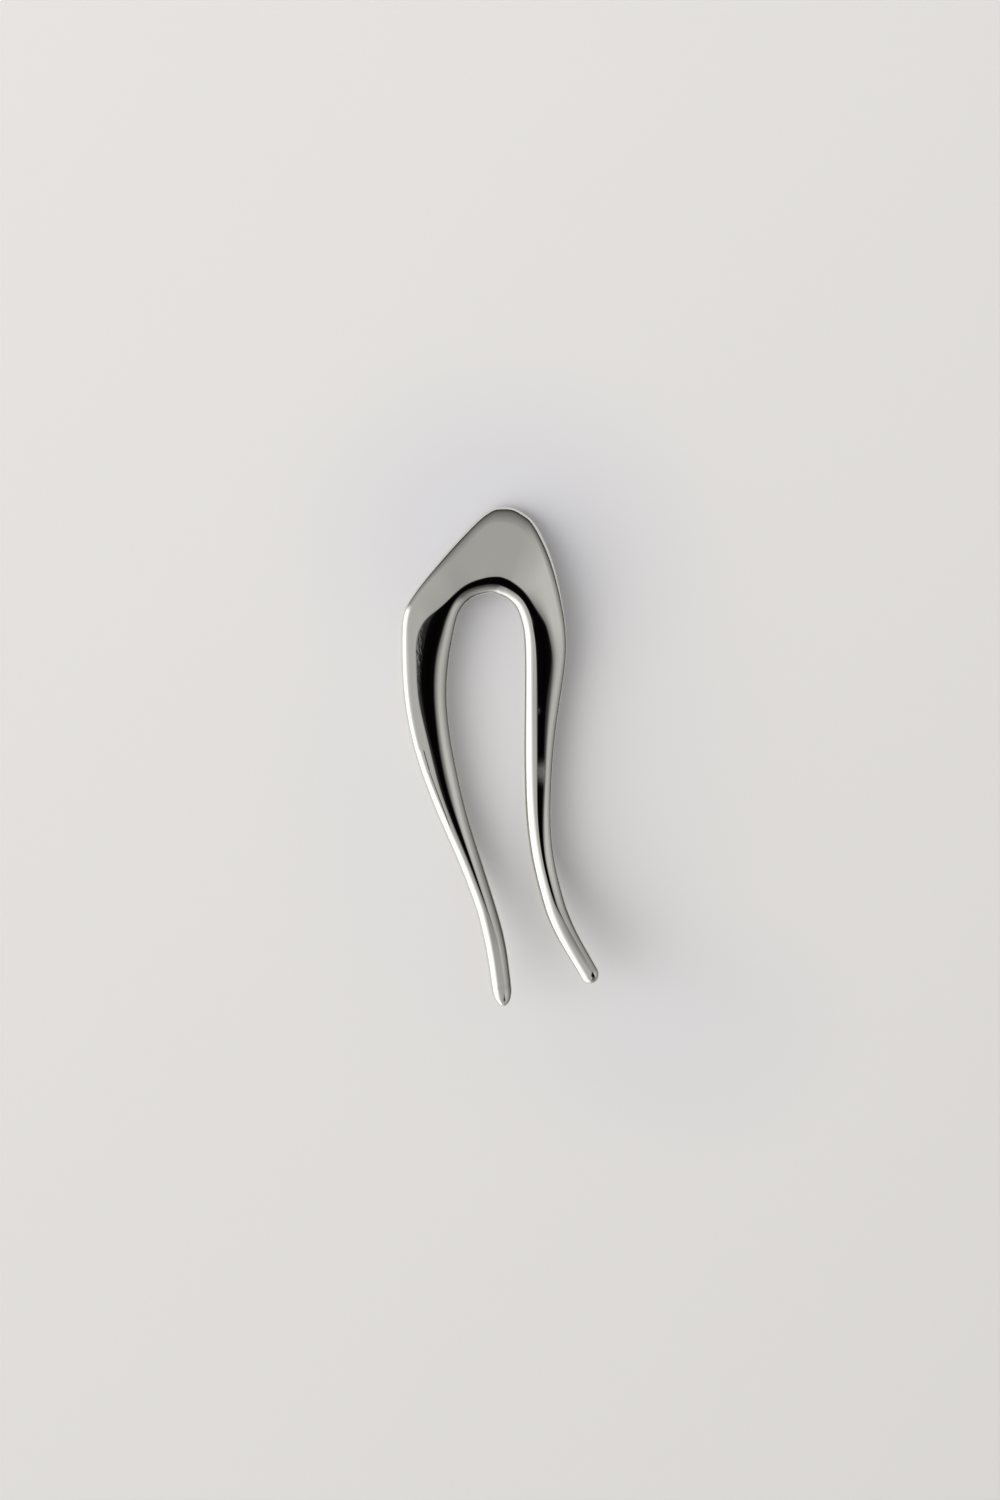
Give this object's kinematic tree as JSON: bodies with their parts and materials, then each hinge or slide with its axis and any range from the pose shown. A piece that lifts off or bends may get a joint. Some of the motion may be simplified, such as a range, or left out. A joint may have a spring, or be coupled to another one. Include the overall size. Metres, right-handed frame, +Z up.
{
  "type": "french hair pin",
  "caption": "One-piece U-shaped metal hair pin with a bevelled, mirror-polished head and two long bowed prongs that taper to rounded tips.",
  "frame": {"origin": "on the surface the pin lies on, under the middle of its box in plan", "axes": "+Y from the prong tips to the top of the head, +Z up from the surface to the polished front, +X to the right of someone who looks down at the front with the head away from them"},
  "size_m": [0.0434, 0.1097, 0.0104],
  "materials": {
    "polished_metal": "mirror polished, silver coloured, with faint polishing marks"
  },
  "bodies": {
    "root": {"hair_pin": "polished_metal"}
  },
  "joints": []
}
